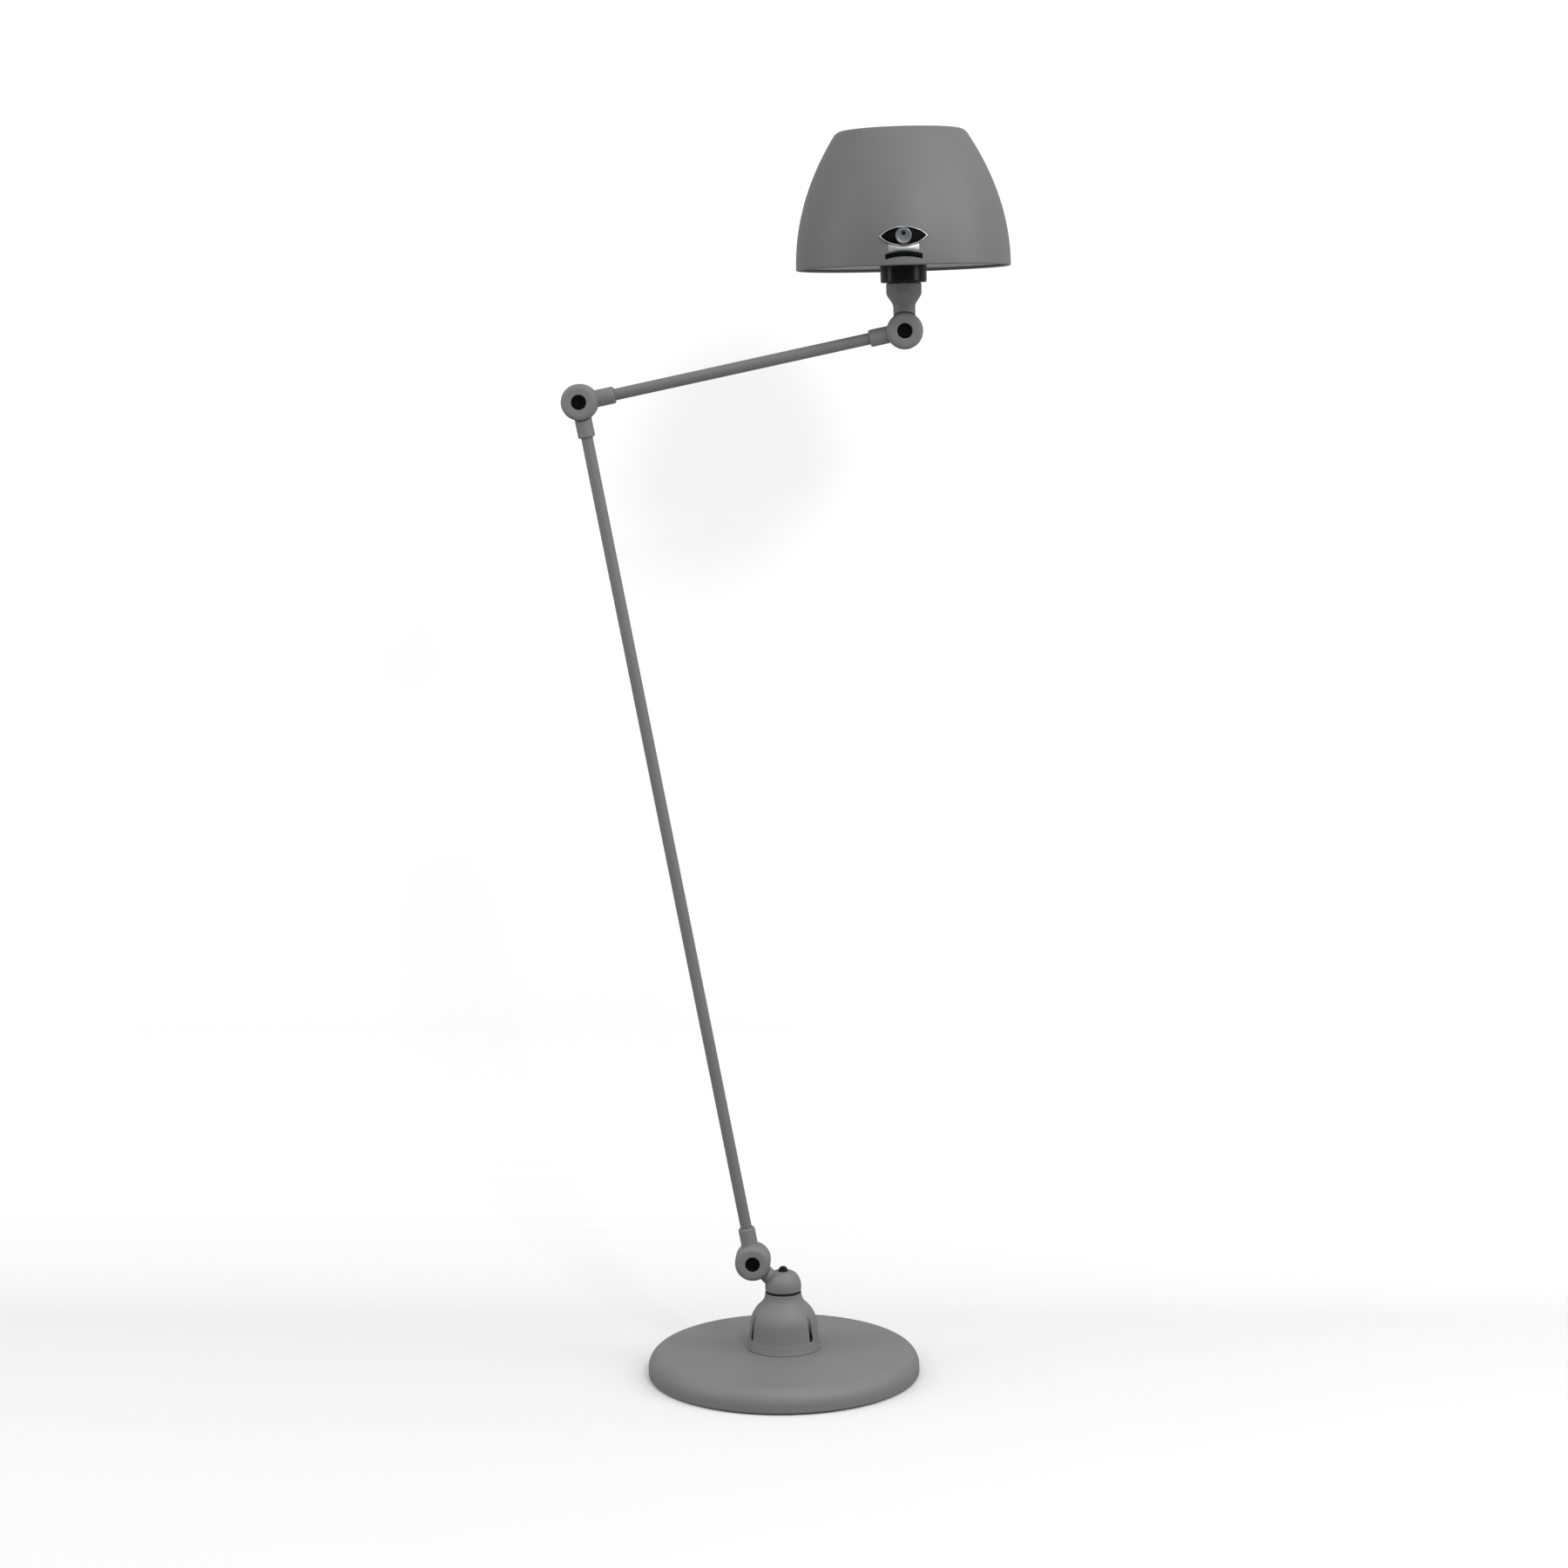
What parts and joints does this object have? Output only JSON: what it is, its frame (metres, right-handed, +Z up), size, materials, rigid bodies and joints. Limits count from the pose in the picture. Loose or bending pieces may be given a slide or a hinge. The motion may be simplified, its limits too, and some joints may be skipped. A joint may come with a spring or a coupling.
{
  "type": "architect reading lamp",
  "caption": "Floor-standing architect reading lamp with a round weighted base, swivelling foot, jointed tube arms and a domed shade over an upright bulb.",
  "frame": {"origin": "centre of the round base's underside, on the surface it stands on", "axes": "+Z up along the swivel axis; the arms lie in the XZ plane, the upper arm reaching towards +X; joints hinge about Y, with their capped faces towards -Y"},
  "size_m": [0.4002, 0.25, 1.1287],
  "materials": {
    "painted_casting": "satin",
    "painted_tube": "satin",
    "painted_shade": "satin paint",
    "rubber": "matte",
    "black_plastic": "matte",
    "black_steel": "blackened",
    "steel": "brushed",
    "chrome": "polished",
    "brass": "plain",
    "resin": "matte",
    "opal_glass": "opal"
  },
  "bodies": {
    "base": {"base_plate": "painted_casting", "base_pad": "rubber", "cord_grommet": "rubber", "bell_housing": "painted_casting", "housing_screws": "black_steel", "swivel_stud": "steel", "swivel_lock_nut": "steel", "swivel_washer": "black_steel", "swivel_contact_disc": "resin", "swivel_contact_rings": "brass", "swivel_top_washer": "black_steel", "swivel_top_nut": "black_steel"},
    "swivel": {"swivel_dome": "painted_casting", "swivel_brush_disc": "resin", "swivel_brushes": "brass", "foot_joint_pivot_screw": "steel", "foot_joint_contact_disc": "resin", "foot_joint_contact_rings": "brass"},
    "lower_arm": {"lower_arm_foot_socket": "painted_casting", "lower_tube": "painted_tube", "lower_lead": "rubber", "lower_arm_elbow_socket": "painted_casting", "foot_joint_spring_washer": "steel", "foot_joint_cap": "black_plastic", "foot_joint_brush_disc": "resin", "foot_joint_brushes": "brass", "elbow_pivot_screw": "steel", "elbow_contact_disc": "resin", "elbow_contact_rings": "brass"},
    "upper_arm": {"upper_arm_elbow_socket": "painted_casting", "upper_tube": "painted_tube", "upper_lead": "rubber", "upper_arm_head_socket": "painted_casting", "elbow_spring_washer": "steel", "elbow_cap": "black_plastic", "elbow_brush_disc": "resin", "elbow_brushes": "brass", "head_joint_spring_washer": "steel", "head_joint_cap": "black_plastic", "head_joint_brush_disc": "resin", "head_joint_brushes": "brass"},
    "head": {"head_stem": "painted_casting", "nipple": "brass", "nipple_nut": "brass", "holder_collar": "black_plastic", "lampholder": "black_plastic", "shade_rings": "black_plastic", "shade_spider": "steel", "shade_rivets": "painted_shade", "shade": "painted_shade", "bulb_glass": "opal_glass", "bulb_cap": "steel", "switch_body": "black_plastic", "switch_bezel": "chrome", "saddle_band": "chrome", "saddle_gasket": "rubber", "head_joint_pivot_screw": "steel", "head_joint_contact_disc": "resin", "head_joint_contact_rings": "brass"},
    "switch_knob": {"switch_knob": "chrome"}
  },
  "joints": [
    {"name": "base_swivel", "type": "hinge", "parent": "base", "child": "swivel", "pos_m": [0, 0, 0.08], "axis": [0, 0, 1], "continuous": true},
    {"name": "foot_hinge", "type": "hinge", "parent": "swivel", "child": "lower_arm", "pos_m": [-0.0276, 0, 0.1063], "axis": [0, 1, 0], "range_deg": [-50, 70]},
    {"name": "elbow_hinge", "type": "hinge", "parent": "lower_arm", "child": "upper_arm", "pos_m": [-0.17339, 0, 0.8929], "axis": [0, 1, 0], "range_deg": [-210, 35]},
    {"name": "head_hinge", "type": "hinge", "parent": "upper_arm", "child": "head", "pos_m": [0.11646, 0, 0.95293], "axis": [0, 1, 0], "range_deg": [-35, 150]},
    {"name": "switch_turn", "type": "hinge", "parent": "head", "child": "switch_knob", "pos_m": [0.11508, -0.09, 1.03222], "axis": [0, 1, 0], "range_deg": [0, 90]}
  ]
}
